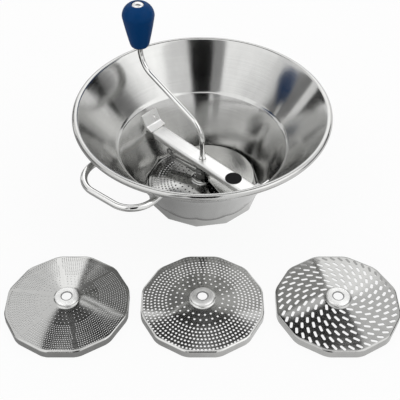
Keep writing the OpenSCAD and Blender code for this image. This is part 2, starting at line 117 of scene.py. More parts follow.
def joinPoint(tree, x, y, z):
    node = addNode(tree, "ShaderNodeCombineXYZ")
    for slotIndex, value in enumerate((x, y, z)):
        plug(tree, value, node.inputs[slotIndex])
    return node.outputs[0]


def objectPlace(tree):
    return addNode(tree, "ShaderNodeTexCoord").outputs["Object"]


def reachOf(tree, x, y):
    # distance from the upright axis
    squares = plus(tree, times(tree, x, x), times(tree, y, y))
    return calc(tree, "SQRT", squares)


def polarPoint(tree, radius, angle, height):
    return joinPoint(tree, times(tree, radius, calc(tree, "COSINE", angle)),
                     times(tree, radius, calc(tree, "SINE", angle)), height)


def noise(tree, vector, scale, detail, rough=0.5):
    node = addNode(tree, "ShaderNodeTexNoise")
    plug(tree, vector, node.inputs["Vector"])
    node.inputs["Scale"].default_value = scale
    node.inputs["Detail"].default_value = detail
    node.inputs["Roughness"].default_value = rough
    return node.outputs["Fac"]


def mixColour(tree, share, first, second):
    node = addNode(tree, "ShaderNodeMix", data_type="RGBA")
    plug(tree, share, node.inputs[0])
    plug(tree, first, node.inputs[6])
    plug(tree, second, node.inputs[7])
    return node.outputs[2]


def newTree(name, treeKind, inputs, outputs):
    tree = bpy.data.node_groups.new(name, treeKind)
    for label, kind, value in inputs:
        socket = tree.interface.new_socket(label, in_out="INPUT", socket_type=kind)
        if value is not None:
            socket.default_value = value
    for label, kind in outputs:
        tree.interface.new_socket(label, in_out="OUTPUT", socket_type=kind)
    return tree, addNode(tree, "NodeGroupInput"), addNode(tree, "NodeGroupOutput")


# finishes shared by several steels
turnedRule = {"across": 6.0, "ringNoise": (1.0, 4.0, 0.6), "smudge": (22.0, 4.0, 0.55),
              "streak": (9.0, 3.0, 0.5), "streakAlong": 2.0}
drawnRule = {"along": 25.0, "lineNoise": (1.0, 3.0, 0.6), "smudge": (60.0, 4.0, 0.55)}


def makeTurnedGrain():
    # fine rings round an upright axis, as left by spinning and polishing
    rule = turnedRule
    group, start, end = newTree(
        "turnedGrain", "ShaderNodeTree",
        [("Centre", "NodeSocketVector", (0, 0, 0)), ("Rings", "NodeSocketFloat", 900.0)],
        [("Grain", "NodeSocketFloat"), ("Smudge", "NodeSocketFloat"), ("Streak", "NodeSocketFloat")])
    offset = addNode(group, "ShaderNodeVectorMath", operation="SUBTRACT")
    plug(group, objectPlace(group), offset.inputs[0])
    plug(group, start.outputs["Centre"], offset.inputs[1])
    x, y, z = splitPoint(group, offset.outputs[0])
    radius = reachOf(group, x, y)
    angle = calc(group, "ARCTAN2", y, x)
    along = plus(group, radius, z)
    rings = times(group, along, start.outputs["Rings"])
    around = joinPoint(group, times(group, x, rule["across"]), times(group, y, rule["across"]), rings)
    plug(group, noise(group, around, *rule["ringNoise"]), end.inputs["Grain"])
    plug(group, noise(group, offset.outputs[0], *rule["smudge"]), end.inputs["Smudge"])
    wedge = joinPoint(group, calc(group, "COSINE", angle), calc(group, "SINE", angle),
                      times(group, along, rule["streakAlong"]))
    plug(group, noise(group, wedge, *rule["streak"]), end.inputs["Streak"])
    return group


def makeDrawnGrain():
    # fine lines along one direction, as on drawn strip and rod
    rule = drawnRule
    group, start, end = newTree(
        "drawnGrain", "ShaderNodeTree",
        [("Turn", "NodeSocketFloat", 0.0), ("Lines", "NodeSocketFloat", 1500.0)],
        [("Grain", "NodeSocketFloat"), ("Smudge", "NodeSocketFloat")])
    place = objectPlace(group)
    turned = addNode(group, "ShaderNodeVectorRotate", rotation_type="Z_AXIS")
    plug(group, place, turned.inputs["Vector"])
    plug(group, start.outputs["Turn"], turned.inputs["Angle"])
    x, y, z = splitPoint(group, turned.outputs[0])
    lines = joinPoint(group, times(group, x, rule["along"]),
                      times(group, y, start.outputs["Lines"]),
                      times(group, z, start.outputs["Lines"]))
    plug(group, noise(group, lines, *rule["lineNoise"]), end.inputs["Grain"])
    plug(group, noise(group, place, *rule["smudge"]), end.inputs["Smudge"])
    return group


turnedGrain = makeTurnedGrain()
drawnGrain = makeDrawnGrain()


def newMaterial(name):
    material = bpy.data.materials.new(name)
    material.use_nodes = True
    tree = material.node_tree
    return material, tree, tree.nodes["Principled BSDF"]


def shaded(colour, share):
    return (*[value * share for value in colour], 1.0)


def addBump(tree, surface, height, strength, distance):
    bump = addNode(tree, "ShaderNodeBump")
    bump.inputs["Strength"].default_value = strength
    bump.inputs["Distance"].default_value = distance
    plug(tree, height, bump.inputs["Height"])
    plug(tree, bump.outputs[0], surface.inputs["Normal"])


wear = {"grainFrom": 0.3, "grainTo": 0.7, "grainShare": 0.35, "smudgeShare": 0.65, "streakShare": 0.5,
        "darker": 0.86, "bumpDistance": 0.0003, "stretchTurn": 0.25}
metalFinishes = {
    "spunSteel": {"colour": (0.58, 0.58, 0.57), "rough": (0.10, 0.18), "grain": 0.10,
                  "stretch": 0.7, "turned": True, "rings": 800.0},
    "discSteel": {"colour": (0.50, 0.50, 0.49), "rough": (0.09, 0.17), "grain": 0.03,
                  "stretch": 0.6, "turned": True, "rings": 700.0,
                  # painted highlight on the disc's boss and painted shade on its hole's lip
                  "bossReach": (0.0128, 0.0140), "bossHighlightColour": (0.97, 0.97, 0.96), "bossRough": 0.35,
                  "lipShadeReach": (0.0060, 0.0072), "lipShadeColour": (0.20, 0.20, 0.20)},
    "bladeSteel": {"colour": (0.70, 0.70, 0.68), "rough": (0.16, 0.28), "grain": 0.05,
                   "stretch": 0.3, "turned": True, "rings": 500.0},
    "polishedSteel": {"colour": (0.80, 0.80, 0.79), "rough": (0.06, 0.13), "grain": 0.015,
                      "stretch": 0.0, "turned": False, "turn": 0.0},
    "stripSteel": {"colour": (0.90, 0.90, 0.89), "rough": (0.26, 0.40), "grain": 0.05,
                   "stretch": 0.0, "turned": False, "turn": math.radians(-135)},
    # painted shade: a steel darkened for the shade under the bridge bar, used on the spring, its
    # washers, the blade hub and the clearing wire
    "shadeDarkSteel": {"colour": (0.20, 0.20, 0.195), "rough": (0.13, 0.22), "grain": 0.04,
                    "stretch": 0.0, "turned": False, "turn": 0.0},
}


def metal(name, finish, centre=(0, 0, 0), shade=1.0):
    look = metalFinishes[finish]
    material, tree, surface = newMaterial(name)
    surface.inputs["Metallic"].default_value = 1.0
    group = addNode(tree, "ShaderNodeGroup")
    if look["turned"]:
        group.node_tree = turnedGrain
        group.inputs["Centre"].default_value = centre
        group.inputs["Rings"].default_value = look["rings"]
    else:
        group.node_tree = drawnGrain
        group.inputs["Turn"].default_value = look["turn"]
    grain, smudge = group.outputs["Grain"], group.outputs["Smudge"]
    worn = plus(tree, times(tree, grain, wear["grainShare"]), times(tree, smudge, wear["smudgeShare"]))
    rough = mapValue(tree, worn, wear["grainFrom"], wear["grainTo"], *look["rough"])
    # a share above or below one paints light or shade into the steel's colour
    base = shaded(look["colour"], shade)
    darker = shaded(base[:3], wear["darker"])
    tone = grain
    if look["turned"]:
        tone = plus(tree, times(tree, grain, 1 - wear["streakShare"]),
                    times(tree, group.outputs["Streak"], wear["streakShare"]))
    light = mapValue(tree, tone, wear["grainFrom"], wear["grainTo"], 0.0, 1.0)
    colour = mixColour(tree, light, darker, base)
    if any(centre):
        # the pressed boss gets a painted highlight that makes it brighter than the sheet round it, and
        # its hole a lip darkened with painted shade
        x, y, _ = splitPoint(tree, objectPlace(tree))
        across, along = minus(tree, centre[1], y), minus(tree, x, centre[0])
        reach = reachOf(tree, across, along)
        boss = mapValue(tree, reach, *look["bossReach"], 1.0, 0.0)
        lip = mapValue(tree, reach, *look["lipShadeReach"], 0.0, 1.0)
        bossHighlightAndLipShade = mixColour(tree, lip, (*look["lipShadeColour"], 1.0), (*look["bossHighlightColour"], 1.0))
        colour = mixColour(tree, boss, colour, bossHighlightAndLipShade)
        rough = plus(tree, rough, times(tree, boss, look["bossRough"]))
    plug(tree, colour, surface.inputs["Base Color"])
    plug(tree, rough, surface.inputs["Roughness"])
    addBump(tree, surface, grain, look["grain"], wear["bumpDistance"])
    if look["stretch"]:
        surface.inputs["Anisotropic"].default_value = look["stretch"]
        surface.inputs["Anisotropic Rotation"].default_value = wear["stretchTurn"]
        if any(centre):
            # rings run round the piece's own centre
            plug(tree, joinPoint(tree, across, along, 0.0), surface.inputs["Tangent"])
        else:
            tangent = addNode(tree, "ShaderNodeTangent", direction_type="RADIAL", axis="Z")
            plug(tree, tangent.outputs[0], surface.inputs["Tangent"])
    return material


plasticLook = {"broad": 45.0, "spread": (0.3, 0.7), "darker": 0.8, "rough": (0.357, 0.483),
               "shine": 0.1, "bump": 0.12}


def plastic(name, colour, grainScale, grainDepth):
    look = plasticLook
    material, tree, surface = newMaterial(name)
    place = objectPlace(tree)
    fine = noise(tree, place, grainScale, 2.0)
    broad = noise(tree, place, look["broad"], 3.0)
    plug(tree, mixColour(tree, broad, shaded(colour, look["darker"]), (*colour, 1.0)),
         surface.inputs["Base Color"])
    plug(tree, mapValue(tree, broad, *look["spread"], *look["rough"]), surface.inputs["Roughness"])
    surface.inputs["Specular IOR Level"].default_value = look["shine"]
    addBump(tree, surface, fine, look["bump"], grainDepth)
    return material


spunSteel = metal("spunSteel", "spunSteel")
polishedSteel = metal("polishedSteel", "polishedSteel")
stripSteel = metal("stripSteel", "stripSteel")
bladeSteel = metal("bladeSteel", "bladeSteel")
shadeDarkSteel = metal("shadeDarkSteel", "shadeDarkSteel")
bluePlastic = plastic("bluePlastic", (0.0, 0.048, 0.178), 1400.0, 0.0001)
blackLabel = plastic("blackLabel", (0.005, 0.005, 0.006), 2500.0, 0.00005)
print("materials made")


# mesh helpers
def linked(name, data):
    made = bpy.data.objects.new(name, data)
    bpy.context.scene.collection.objects.link(made)
    return made


def outward(mesh):
    shape = bmesh.new()
    shape.from_mesh(mesh)
    bmesh.ops.recalc_face_normals(shape, faces=shape.faces)
    shape.to_mesh(mesh)
    shape.free()


def meshObject(name, points, faces, material=None, sharpAngle=35.0):
    mesh = bpy.data.meshes.new(name)
    mesh.from_pydata([Vector(point) * mm for point in points], [], faces)
    outward(mesh)
    smoothMesh(mesh, sharpAngle)
    if material:
        mesh.materials.append(material)
    return linked(name, mesh)


def smoothMesh(mesh, sharpAngle):
    mesh.polygons.foreach_set("use_smooth", [True] * len(mesh.polygons))
    mesh.set_sharp_from_angle(angle=math.radians(sharpAngle))


def turnedSolid(name, rows, segments, material, sharpAngle):
    # rows: functions of the angle that give (radius, height) in mm; the last row joins the first
    points, faces = [], []
    for row in rows:
        for step in range(segments):
            angle = 2 * math.pi * step / segments
            radius, height = row(angle)
            points.append((radius * math.cos(angle), radius * math.sin(angle), height))
    for index in range(len(rows)):
        low, high = index * segments, (index + 1) % len(rows) * segments
        for step in range(segments):
            nextStep = (step + 1) % segments
            faces.append((low + step, low + nextStep, high + nextStep, high + step))
    return meshObject(name, points, faces, material, sharpAngle)


def fixedRow(radius, height):
    return lambda angle: (radius, height)


def flatReach(angle, turn, flat, cornerRound):
    # distance to a twelve-sided outline with softened corners
    part = (angle - turn) % twelfth - halfTwelfth
    return min(flat / math.cos(part), flat / math.cos(halfTwelfth) * cornerRound)


def softMax(first, second, width):
    # the greater of the two, rounded off where they cross
    share = max(width - abs(first - second), 0.0) / width
    return max(first, second) + share * share * width * 0.25


def bakeNodes(made, tree, values, sharpAngle):
    # runs a geometry tree on the object and keeps the plain mesh it gives
    modifier = made.modifiers.new(tree.name, "NODES")
    modifier.node_group = tree
    for item in tree.interface.items_tree:
        if item.item_type == "SOCKET" and item.in_out == "INPUT" and item.name in values:
            modifier[item.identifier] = values[item.name]
    bpy.context.view_layer.update()
    mesh = bpy.data.meshes.new_from_object(made.evaluated_get(bpy.context.evaluated_depsgraph_get()))
    made.modifiers.remove(modifier)
    finish = [item for item in mesh.materials if item][0]
    mesh.materials.clear()
    mesh.materials.append(finish)
    mesh.polygons.foreach_set("material_index", [0] * len(mesh.polygons))
    made.data = mesh
    smoothMesh(mesh, sharpAngle)
    return made


def newGeometry(name, inputs):
    geometry = ("Geometry", "NodeSocketGeometry")
    return newTree(name, "GeometryNodeTree", [(*geometry, None), *inputs], [geometry])


def endTree(tree, geometry, material, end):
    realize = addNode(tree, "GeometryNodeRealizeInstances")
    plug(tree, geometry, realize.inputs[0])
    dress = addNode(tree, "GeometryNodeSetMaterial")
    plug(tree, realize.outputs[0], dress.inputs["Geometry"])
    plug(tree, material, dress.inputs["Material"])
    plug(tree, dress.outputs[0], end.inputs[0])


def grownPiece(name, tree, shape, material, sharpAngle):
    # the tree makes the whole mesh, so what it starts from doesn't matter
    made = meshObject(name, [(0, 0, 0), (1, 0, 0), (0, 1, 0)], [(0, 1, 2)])
    bakeNodes(made, tree, {**shape, "Finish": material}, sharpAngle)
    outward(made.data)
    return made


def placePiece(made, body, slotName, *replaced):
    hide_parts(*replaced)
    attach(made, body)


# rods: a tree that runs a round section along a line
def sweepRound(tree, line, thickness, sides):
    ring = addNode(tree, "GeometryNodeCurvePrimitiveCircle")
    plug(tree, sides, ring.inputs["Resolution"])
    plug(tree, calc(tree, "DIVIDE", thickness, 2.0), ring.inputs["Radius"])
    sweep = addNode(tree, "GeometryNodeCurveToMesh")
    plug(tree, line, sweep.inputs["Curve"])
    plug(tree, ring.outputs[0], sweep.inputs["Profile Curve"])
    sweep.inputs["Fill Caps"].default_value = True
    return sweep.outputs[0]


def makeRodTree():
    tree, start, end = newGeometry("bentRod", [
        ("Thickness", "NodeSocketFloat", 0.007), ("Sides", "NodeSocketInt", 32),
        ("Finish", "NodeSocketMaterial", None)])
    line = addNode(tree, "GeometryNodeMeshToCurve")
    plug(tree, start.outputs["Geometry"], line.inputs[0])
    rod = sweepRound(tree, line.outputs[0], start.outputs["Thickness"], start.outputs["Sides"])
    endTree(tree, rod, start.outputs["Finish"], end)
    return tree


rodTree = makeRodTree()


def rodPiece(name, paths, thickness, sides, material):
    # paths: lists of points in mm
    points, edges = [], []
    for path in paths:
        first = len(points)
        points += [Vector(point) * mm for point in path]
        edges += [(first + k, first + k + 1) for k in range(len(path) - 1)]
    mesh = bpy.data.meshes.new(name)
    mesh.from_pydata(points, edges, [])
    values = {"Thickness": thickness * mm, "Sides": sides, "Finish": material}
    return bakeNodes(linked(name, mesh), rodTree, values, sharpAngle=50.0)


def evenSteps(first, gap, count):
    return [first + k * gap for k in range(count)]


def arcPoints(centre, radius, fromAngle, toAngle, steps):
    # an arc in a plane, as (across, up) pairs; angles in degrees
    made = []
    for k in range(steps + 1):
        angle = math.radians(fromAngle + (toAngle - fromAngle) * k / steps)
        made.append((centre[0] + radius * math.cos(angle), centre[1] + radius * math.sin(angle)))
    return made


def turnPoint(point, degrees):
    x, y, z = point
    angle = math.radians(degrees)
    return (x * math.cos(angle) - y * math.sin(angle), x * math.sin(angle) + y * math.cos(angle), z)


# bowl
bowlShape = {"segments": 288, "turn": math.radians(24 + 15), "skirtFlat": 69.68, "sheet": 1.0,
             "lip": 63.08, "kneeRadius": 104.0, "kneeHeight": 74.0, "slope": 0.528, "slant": 1.131,
             "kneeOutside": ((-0.15, -1.25), (0.25, -0.75), (0.95, -0.2)),
             "kneeInside": ((0.2, 0.5), (-0.75, -0.15), (-1.35, -1.0)),
             "skirtHeight": 9.0, "skirtTop": 24.0, "skirtRows": (2.5, 1.1, 20), "coneRows": (28, 6.0, 7),
             "insideTop": 70, "cornerRound": 0.998, "cornerBlend": 0.7, "ease": 0.03,
             "rimRadius": 151.0, "rimHeight": 126.0, "bead": 4.0, "flareTilt": 51.37,
             "flareRows": (16, 8.0, 6), "curl": (131.5, 450.0), "curlSteps": 40, "beadGap": 4.6,
             # painted highlight on the base's flats and painted shade in the crease above them
             "flareFoot": (105.6, 74.8), "flatHighlightColour": (0.68, 0.68, 0.67), "flatEdge": (0.1, 0.4),
             "creaseShadeColour": (0.26, 0.26, 0.255), "creaseShadeFade": (0.6, 3.6)}


def coneReach(height, inward):
    return bowlShape["skirtFlat"] - inward + (height - bowlShape["skirtHeight"]) * bowlShape["slope"]


def wallRow(height, inward):
    # inward is the depth under the outer face; slant is how much more that is level on the cone
    def row(angle):
        shape = bowlShape
        cone = coneReach(height, inward * shape["slant"])
        if height > shape["skirtTop"]:
            return cone, height
        flat = shape["skirtFlat"] - inward
        side = flatReach(angle - halfTwelfth, shape["turn"], flat, shape["cornerRound"])
        return softMax(side, cone, shape["cornerBlend"]) - shape["ease"], height
    return row


def flareRow(along, side):
    # a point on the flare's sheet, along its slope, side +0.5 is the outer face
    tilt = math.radians(bowlShape["flareTilt"])
    foot = bowlShape["flareFoot"]
    return fixedRow(foot[0] + along * math.cos(tilt) + side * math.sin(tilt),
                    foot[1] + along * math.sin(tilt) - side * math.cos(tilt))


def makeBowl():
    shape = bowlShape
    rows = [fixedRow(shape["lip"], 0.25), fixedRow(shape["lip"] + 0.2, 0.0)]
    rows += [wallRow(0.0, 1.6), wallRow(0.15, 0.8), wallRow(0.7, 0.25), wallRow(1.6, 0.0)]
    heights = evenSteps(*shape["skirtRows"]) + evenSteps(*shape["coneRows"])
    rows += [wallRow(height, 0.0) for height in heights]
    knee, kneeUp = shape["kneeRadius"], shape["kneeHeight"]
    rows += [fixedRow(knee + out, kneeUp + up) for out, up in shape["kneeOutside"]]
    # the rim curls outward, so the flare's inner face runs smoothly over the bead
    footRadius, footHeight = shape["flareFoot"]
    flareLength = math.hypot(shape["rimRadius"] - footRadius, shape["rimHeight"] - footHeight)
    stops = [0.4, 3, 8, *evenSteps(*shape["flareRows"]), flareLength - shape["beadGap"]]
    rows += [flareRow(stop, 0.5) for stop in stops]
    curlFrom, curlTo = shape["curl"]
    bead = arcPoints((shape["rimRadius"], shape["rimHeight"]), shape["bead"],
                     shape["flareTilt"] + curlFrom, shape["flareTilt"] + curlTo, shape["curlSteps"])
    rows += [fixedRow(*point) for point in bead]
    rows += [flareRow(stop, -0.5) for stop in reversed(stops)]
    rows += [fixedRow(knee + out, kneeUp + up) for out, up in shape["kneeInside"]]
    inside = [height for height in reversed(heights) if height < shape["insideTop"]]
    rows += [wallRow(height, shape["sheet"]) for height in inside]
    rows += [wallRow(1.6, 1.15), wallRow(1.05, 1.8)]
    rows += [fixedRow(shape["lip"] + 0.2, 1.0), fixedRow(shape["lip"], 0.75)]
    return turnedSolid("bowlShell", rows, shape["segments"], spunSteel, sharpAngle=60.0)


def paintSkirtLightAndShade(material):
    # painted light on the base: its pressed flats get a painted highlight, a little brighter than the
    # cone, under a crease darkened with painted shade
    shape = bowlShape
    tree = material.node_tree
    target = tree.nodes["Principled BSDF"].inputs["Base Color"]
    colour = target.links[0].from_socket
    x, y, _ = splitPoint(tree, objectPlace(tree))
    radius = reachOf(tree, x, y)
    part = calc(tree, "WRAP", minus(tree, calc(tree, "ARCTAN2", y, x), shape["turn"]),
                halfTwelfth, -halfTwelfth)
    past = minus(tree, times(tree, radius, calc(tree, "COSINE", part)), shape["skirtFlat"] * mm)
    edge = [value * mm for value in shape["flatEdge"]]
    fade = [value * mm for value in shape["creaseShadeFade"]]
    flatHighlight = mapValue(tree, past, *edge, 1.0, 0.0)
    creaseShade = times(tree, mapValue(tree, past, *edge, 0.0, 1.0), mapValue(tree, past, *fade, 1.0, 0.0))
    colour = mixColour(tree, flatHighlight, colour, (*shape["flatHighlightColour"], 1.0))
    plug(tree, mixColour(tree, creaseShade, colour, (*shape["creaseShadeColour"], 1.0)), target)


paintSkirtLightAndShade(spunSteel)
placePiece(makeBowl(), "bowl", "spun_steel", "bowl")
print("bowl made")

# loop handle
handleShape = {"thickness": 7.8, "width": 92.0, "reach": 175.0, "bend": 30.0, "height": 113.0,
               "direction": 232.0, "sides": 32, "legFrom": 125.0, "legRows": (130.0, 4, 4),
               "bendSteps": 16, "sink": 0.15}


def makeHandle():
    shape = handleShape
    side, bend, reach = shape["width"] / 2, shape["bend"], shape["reach"]
    legFrom, legEnd = shape["legFrom"], reach - bend
    path = [(x, side) for x in (legFrom, *evenSteps(*shape["legRows"]))]
    path += arcPoints((legEnd, side - bend), bend, 90, 0, shape["bendSteps"])
    path += [(x, -y) for x, y in reversed(path)]
    points = [turnPoint((x, y, shape["height"]), shape["direction"]) for x, y in path]
    made = rodPiece("handleLoop", [points], shape["thickness"], shape["sides"], polishedSteel)
    # the two ends lie on the flare's outer face
    tilt = math.radians(bowlShape["flareTilt"])
    skin = bowlShape["sheet"] / 2 / math.sin(tilt) - shape["sink"]
    footRadius, footHeight = bowlShape["flareFoot"]
    for vertex in made.data.vertices:
        x, y, z = turnPoint(vertex.co / mm, -shape["direction"])
        if x < legEnd - 0.5:
            wall = footRadius + (z - footHeight) / math.tan(tilt) + skin
            foot = math.sqrt(wall * wall - y * y)
            x = foot + (x - legFrom) / (legEnd - legFrom) * (legEnd - foot)
            vertex.co = Vector(turnPoint((x, y, z), shape["direction"])) * mm
    return made


placePiece(makeHandle(), "bowl", "polished_steel", "loop_handle")

# crank rod and knob
crankShape = {"thickness": 6.96, "direction": 130.0, "throw": 122.0, "bend": 28.0, "lowHeight": 74.0,
              "highHeight": 150.0, "tilt": 15.2252, "foot": 10.2, "lowStops": (30.0, 50.0),
              "highStop": 175.0, "top": 214.8, "bendSteps": 18, "sides": 36}


def makeCrank():
    shape = crankShape
    bend, tilt, steps = shape["bend"], shape["tilt"], shape["bendSteps"]
    path = [(0.0, height) for height in (shape["foot"], *shape["lowStops"])]
    path += arcPoints((bend, shape["lowHeight"]), bend, 180, 90 + tilt, steps)
    path += arcPoints((shape["throw"] - bend, shape["highHeight"]), bend, 270 + tilt, 360, steps)
    path += [(shape["throw"], shape["highStop"]), (shape["throw"], shape["top"])]
    points = [turnPoint((x, 0.0, z), shape["direction"]) for x, z in path]
    return rodPiece("crankRod", [points], shape["thickness"], shape["sides"], polishedSteel)


placePiece(makeCrank(), "crank", "polished_steel", "crank_rod")

knobShape = {"foot": 155.7, "height": 60.0, "footRadius": 11.5, "wideRadius": 20.2, "wideHeight": 44.0,
             "topRadius": 9.5, "bore": 3.6, "seat": 7.8, "seatDepth": 1.2, "axis": (-78.4201, 93.4574),
             "footEdge": ((7.5, 0.0), (9.4, 0.35), (10.8, 1.2), (11.7, 2.5), (12.2, 4.0)), "swell": 0.35,
             "steps": 15, "segments": 96}


def makeKnob():
    shape = knobShape
    foot, height, steps = shape["foot"], shape["height"], shape["steps"]
    taper = (shape["wideRadius"] - shape["footRadius"]) / shape["wideHeight"]
    outline = [(shape["bore"], 0.3), (shape["bore"] + 0.4, 0.0), *shape["footEdge"]]
    edgeHeight = shape["footEdge"][-1][1]
    rise = shape["wideHeight"] - edgeHeight
    for k in range(1, steps):
        z = edgeHeight + rise * k / steps
        swell = shape["swell"] * math.sin(math.pi * (z - edgeHeight) / rise)
        outline.append((shape["footRadius"] + taper * z + swell, z))
    inward = shape["wideRadius"] - shape["topRadius"]
    upward = height - shape["wideHeight"]
    shoulder = (inward ** 2 + upward ** 2) / (2 * inward)
    for k in range(steps):
        z = upward * k / (steps - 1)
        outline.append((shape["wideRadius"] - shoulder + math.sqrt(shoulder ** 2 - z * z),
                        shape["wideHeight"] + z))
    outline[-1] = (shape["topRadius"] + 0.2, height - 0.3)
    seatHeight = height - shape["seatDepth"]
    outline += [(shape["seat"] + 0.5, height), (shape["seat"], height - 0.3),
                (shape["seat"], seatHeight), (shape["bore"], seatHeight)]
    rows = [fixedRow(radius, foot + z) for radius, z in outline]
    made = turnedSolid("knobGrip", rows, shape["segments"], bluePlastic, sharpAngle=50.0)
    made.data.transform(Matrix.Translation((shape["axis"][0] * mm, shape["axis"][1] * mm, 0)))
    return made


placePiece(makeKnob(), "knob", "blue_plastic", "knob")
print("handle, crank and knob made")

# perforated discs
discShape = {"flat": 68.1, "edge": 9.0, "sheet": 0.8, "slope": math.tan(math.radians(7.3)), "boss": 13.5,
             "hole": 5.5, "bossRise": 3.0, "segments": 192, "cornerRound": 0.988, "cornerShare": 0.966,
             "roundTo": 50.0, "domeRows": (16, 2.47, 21)}


def domeHeight(radius):
    # the height on the dome's corner lines, where it is highest
    flatPart = radius * discShape["cornerShare"]
    return discShape["edge"] + (discShape["flat"] - flatPart) * discShape["slope"]


def discRow(radius, height, sided):
    # sided 0 is a circle, 1 follows the twelve-sided edge
    def row(angle):
        edge = flatReach(angle - halfTwelfth, halfTwelfth, discShape["flat"], discShape["cornerRound"])
        return radius + sided * (edge - discShape["flat"]), height
    return row


def makeDiscBlank(name):
    shape = discShape
    flat, sheet, hole = shape["flat"], shape["sheet"], shape["hole"]
    bossTop = domeHeight(shape["boss"]) + shape["bossRise"]
    # each row of the boss, and how far it lies under the boss's top
    boss = [(hole, 0.8), (hole, 0.3), (hole + 0.3, 0.05), (7.2, 0.0), (11.0, 0.0), (12.2, 0.25),
            (13.0, 0.8), (13.4, 1.7)]
    rows = [fixedRow(radius, bossTop - drop) for radius, drop in boss]
    rows += [fixedRow(13.7, domeHeight(13.7) + 0.5), fixedRow(14.4, domeHeight(14.4) + 0.08)]
    # each ring of the dome, and how far it follows the twelve-sided edge
    rings = []
    for radius in evenSteps(*shape["domeRows"]):
        share = max(0.0, (radius - shape["roundTo"]) / (flat - shape["roundTo"])) ** 2
        rings.append((radius, share))
    rows += [discRow(radius, domeHeight(radius), share) for radius, share in rings]
    rows.append(discRow(flat - 1.6, domeHeight(flat - 1.6) - 0.05, 0.97))
    top = domeHeight(flat)
    wall = [(0.7, top - 0.2), (0.2, top - 0.7), (0.05, top - 1.4), (0.02, 0.2), (0.2, 0.0), (0.6, 0.0),
            (sheet, 0.2), (sheet, top - 1.8), (sheet + 0.5, top - 1.0)]
    rows += [discRow(flat - inset, height, 1.0) for inset, height in wall]
    rows += [discRow(radius, domeHeight(radius) - sheet, share) for radius, share in reversed(rings)]
    rows += [fixedRow(13.6, domeHeight(13.6) - sheet), fixedRow(12.7, domeHeight(13.6) - sheet + 0.6)]
    under = [(12.4, 1.8), (11.6, 1.0), (10.6, 0.8)]
    rows += [fixedRow(radius, bossTop - drop) for radius, drop in under]
    return turnedSolid(name, rows, shape["segments"], None, sharpAngle=45.0)


# the most holes that a ring has room for, the most rings, the angle from one plain band to the next
# and the height of the punch
punchRule = {"holes": 200, "rings": 24, "bandStep": 2 * twelfth, "depth": 0.06}


def ringPoints(tree, pitch, outer, inner, bandHalf, bandTurn):
    # points on rings, alternate rings half a step round, left out on the plain bands
    mostHoles, bandStep = punchRule["holes"], punchRule["bandStep"]
    cloud = addNode(tree, "GeometryNodePoints")
    cloud.inputs["Count"].default_value = mostHoles * punchRule["rings"]
    order = addNode(tree, "GeometryNodeInputIndex").outputs[0]
    ring = calc(tree, "FLOOR", calc(tree, "DIVIDE", order, mostHoles))
    step = minus(tree, order, times(tree, ring, mostHoles))
    radius = minus(tree, outer, times(tree, ring, pitch))
    fitting = calc(tree, "DIVIDE", times(tree, radius, 2 * math.pi), pitch)
    count = calc(tree, "MAXIMUM", calc(tree, "FLOOR", fitting), 1.0)
    offset = times(tree, calc(tree, "MODULO", ring, 2.0), 0.5)
    turned = calc(tree, "DIVIDE", plus(tree, step, offset), count)
    angle = times(tree, turned, 2 * math.pi)
    spread = addNode(tree, "GeometryNodeSetPosition")
    plug(tree, cloud.outputs[0], spread.inputs["Geometry"])
    plug(tree, polarPoint(tree, radius, angle, 0.0), spread.inputs["Position"])
    # the angle from the middle between two bands, then the sine of that from the nearest band
    sector = calc(tree, "WRAP", minus(tree, angle, bandTurn), bandStep, 0.0)
    fromMiddle = calc(tree, "ABSOLUTE", minus(tree, sector, bandStep / 2))
    fromBand = calc(tree, "SINE", minus(tree, bandStep / 2, fromMiddle))
    nearBand = calc(tree, "LESS_THAN", times(tree, radius, fromBand), bandHalf)
    tooMany = calc(tree, "GREATER_THAN", step, minus(tree, count, 0.5))
    tooNear = calc(tree, "LESS_THAN", radius, inner)
    drop = addNode(tree, "GeometryNodeDeleteGeometry", domain="POINT")
    plug(tree, spread.outputs[0], drop.inputs["Geometry"])
    plug(tree, calc(tree, "ADD", calc(tree, "ADD", tooMany, tooNear), nearBand, clamp=True),
         drop.inputs["Selection"])
    return drop.outputs[0]


